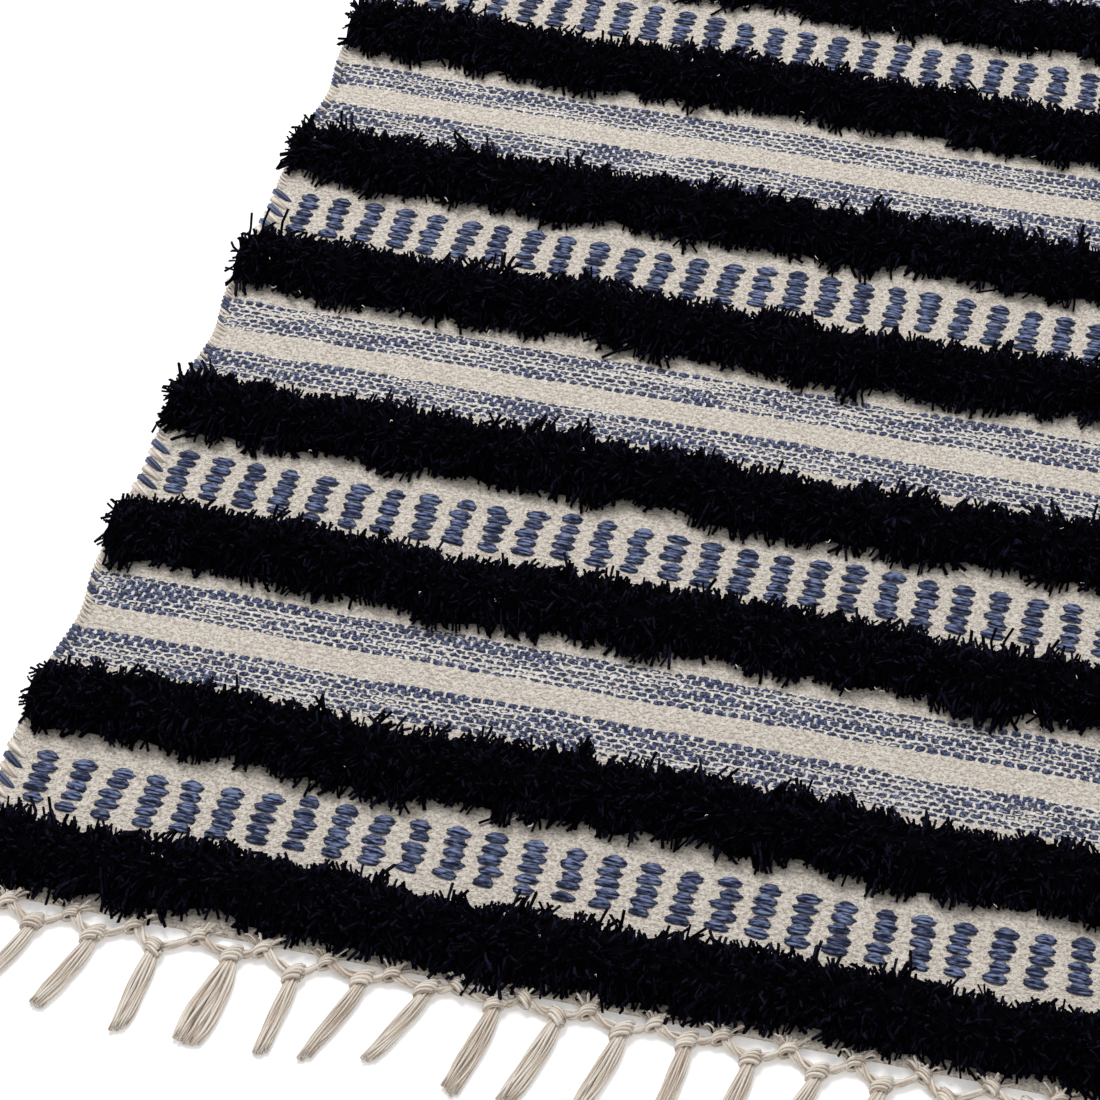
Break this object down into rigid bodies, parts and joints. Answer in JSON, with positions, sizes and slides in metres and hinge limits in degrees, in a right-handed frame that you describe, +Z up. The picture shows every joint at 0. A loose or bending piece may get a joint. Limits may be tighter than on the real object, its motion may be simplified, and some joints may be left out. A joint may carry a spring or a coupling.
{
  "type": "doormat",
  "caption": "Flat hand-woven rectangular doormat with raised tufted pile stripes across it, figured and marled bands between them, and a knotted tassel fringe at both ends.",
  "frame": {"origin": "on the floor under the middle of the mat: the bottom centre of its bounding box", "axes": "+Z up out of the floor, +Y along the mat's length and its warp, +X across the mat along the pile stripes"},
  "size_m": [0.606, 1.0138, 0.0199],
  "materials": {
    "cotton_cloth": "matt undyed cotton weave",
    "navy_pile": "matt cut pile",
    "cotton_yarn": "matt plied cotton yarn"
  },
  "bodies": {
    "root": {"ground_cloth": "cotton_cloth", "pile_stripe_01": "navy_pile", "pile_stripe_02": "navy_pile", "pile_stripe_03": "navy_pile", "pile_stripe_04": "navy_pile", "pile_stripe_05": "navy_pile", "pile_stripe_06": "navy_pile", "pile_stripe_07": "navy_pile", "pile_stripe_08": "navy_pile", "pile_stripe_09": "navy_pile", "pile_stripe_10": "navy_pile", "fringe_near": "cotton_yarn", "fringe_far": "cotton_yarn"}
  },
  "joints": []
}
